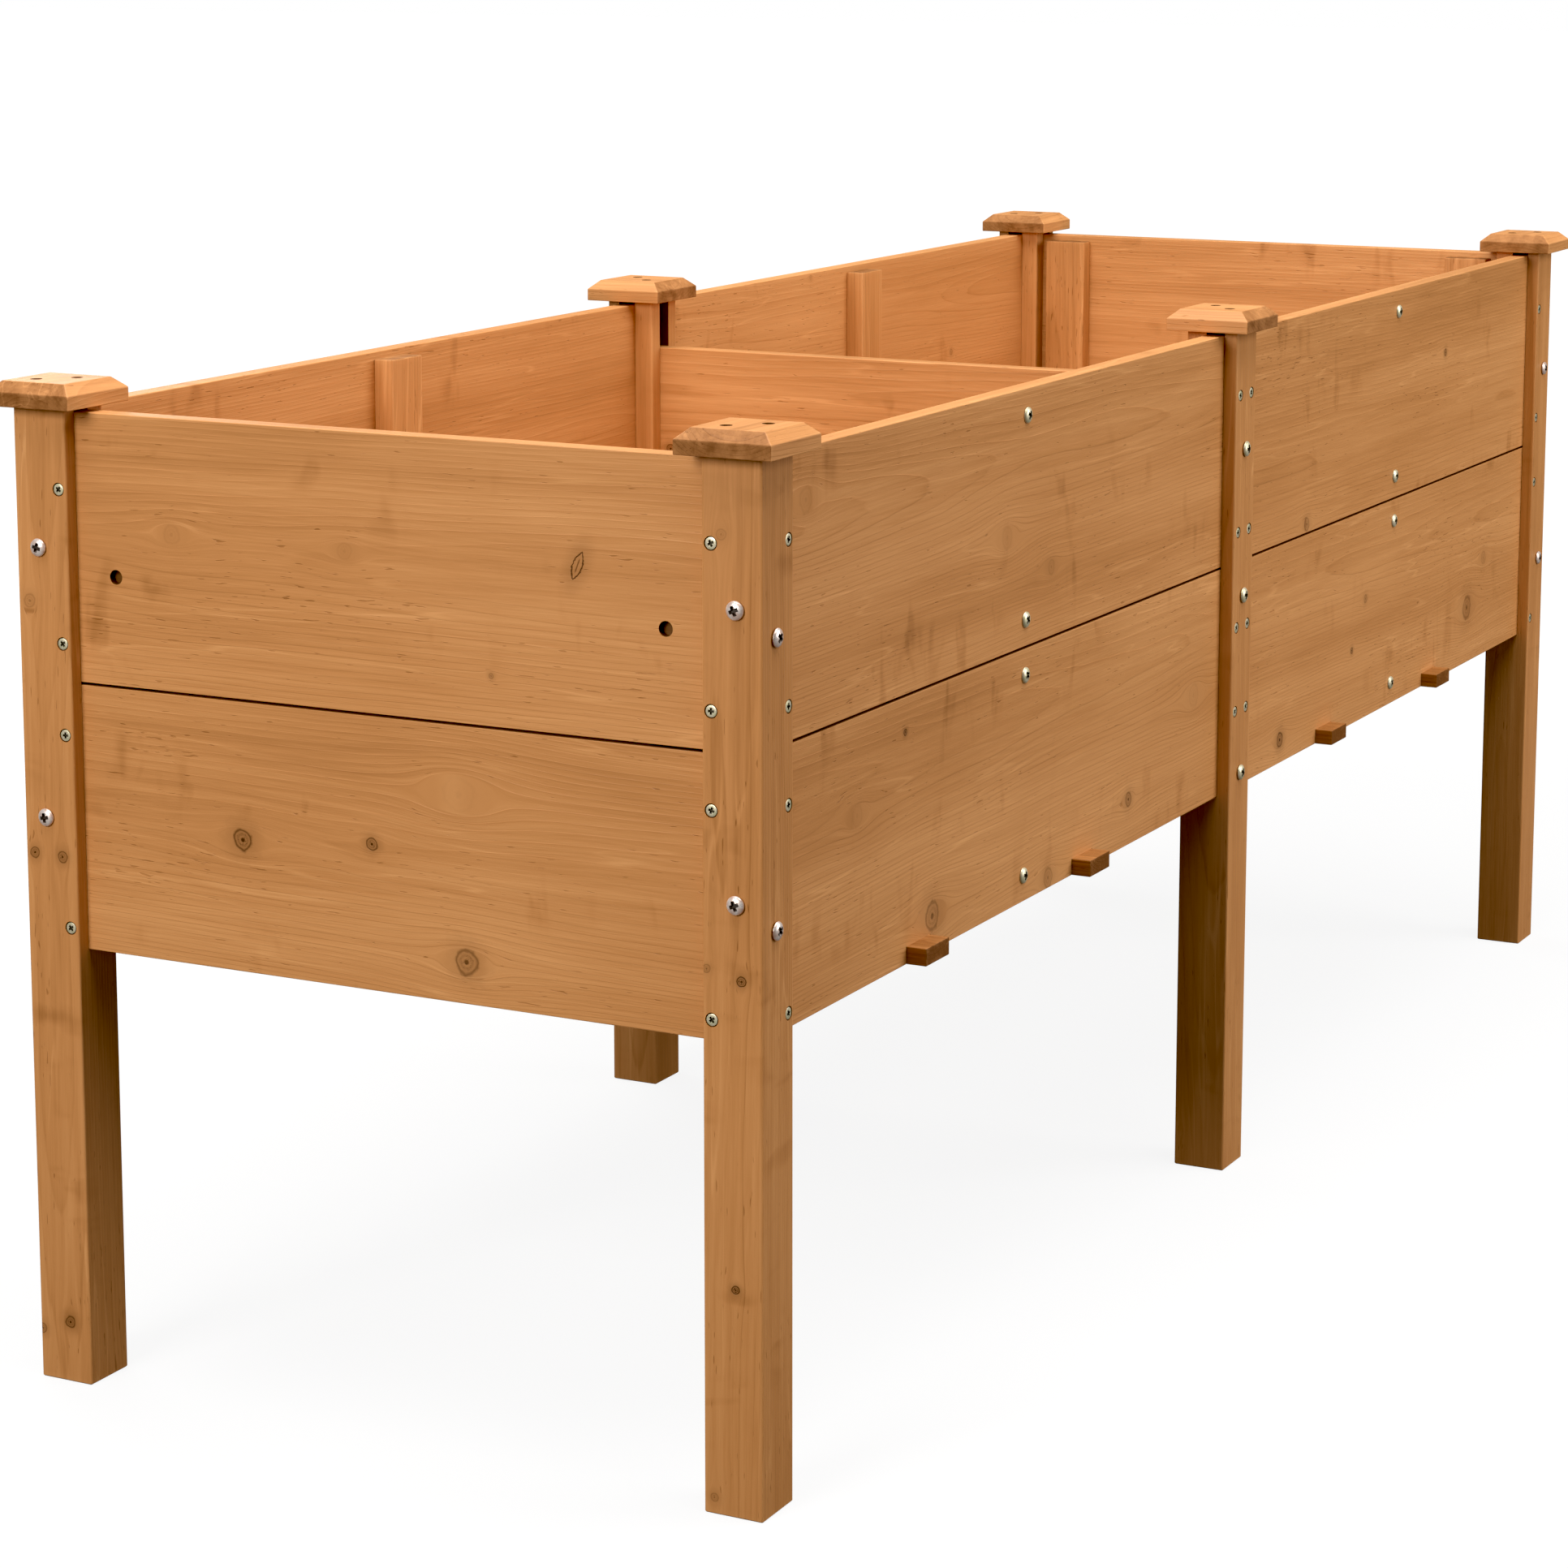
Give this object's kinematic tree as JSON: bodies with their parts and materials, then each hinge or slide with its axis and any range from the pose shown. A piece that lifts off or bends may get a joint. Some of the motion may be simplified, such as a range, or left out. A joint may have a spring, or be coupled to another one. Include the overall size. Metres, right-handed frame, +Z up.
{
  "type": "raised planter on legs",
  "caption": "Long raised wooden planter on square posts, with board walls, two planting bays, slatted floors on cross bearers and bevelled post caps.",
  "frame": {"origin": "centre of the footprint, on the ground the posts stand on", "axes": "+X along the length towards the right end, +Y across the width towards the back, +Z up"},
  "size_m": [1.829, 0.646, 0.762],
  "materials": {
    "post_wood": "stained softwood, satin, grain upright",
    "cap_wood": "stained softwood, satin, rough end grain on two sides",
    "board_wood": "stained softwood, satin, grain along the board",
    "inner_wood": "stained softwood, dull, grain along the piece",
    "bearer_wood": "stained softwood, dull, sawn ends",
    "zinc_screw": "pale yellow zinc plate",
    "nickel_screw": "bright plated steel",
    "stained_screw": "steel, stained over"
  },
  "bodies": {
    "root": {"front_left_post": "post_wood", "front_middle_post": "post_wood", "front_right_post": "post_wood", "back_left_post": "post_wood", "back_middle_post": "post_wood", "back_right_post": "post_wood", "front_left_cap": "cap_wood", "front_middle_cap": "cap_wood", "front_right_cap": "cap_wood", "back_left_cap": "cap_wood", "back_middle_cap": "cap_wood", "back_right_cap": "cap_wood", "front_left_lower_board": "board_wood", "front_left_upper_board": "board_wood", "front_right_lower_board": "board_wood", "front_right_upper_board": "board_wood", "back_left_lower_board": "board_wood", "back_left_upper_board": "board_wood", "back_right_lower_board": "board_wood", "back_right_upper_board": "board_wood", "left_end_lower_board": "board_wood", "left_end_upper_board": "board_wood", "right_end_lower_board": "board_wood", "right_end_upper_board": "board_wood", "divider_lower_board": "inner_wood", "divider_upper_board": "inner_wood", "front_left_batten": "inner_wood", "front_right_batten": "inner_wood", "back_left_batten": "inner_wood", "back_right_batten": "inner_wood", "front_left_cleat": "inner_wood", "front_right_cleat": "inner_wood", "back_left_cleat": "inner_wood", "back_right_cleat": "inner_wood", "left_bay_bearer_a": "bearer_wood", "left_bay_bearer_b": "bearer_wood", "right_bay_bearer_a": "bearer_wood", "right_bay_bearer_b": "bearer_wood", "left_bay_slat_1": "inner_wood", "left_bay_slat_2": "inner_wood", "left_bay_slat_3": "inner_wood", "left_bay_slat_4": "inner_wood", "right_bay_slat_1": "inner_wood", "right_bay_slat_2": "inner_wood", "right_bay_slat_3": "inner_wood", "right_bay_slat_4": "inner_wood", "post_screws": "zinc_screw", "long_board_end_screws": "nickel_screw", "end_board_end_screws": "nickel_screw", "divider_screws": "zinc_screw", "batten_screws": "zinc_screw", "cleat_screws": "zinc_screw", "cap_screws": "stained_screw", "bearer_screws": "zinc_screw", "floor_screws": "zinc_screw"}
  },
  "joints": []
}
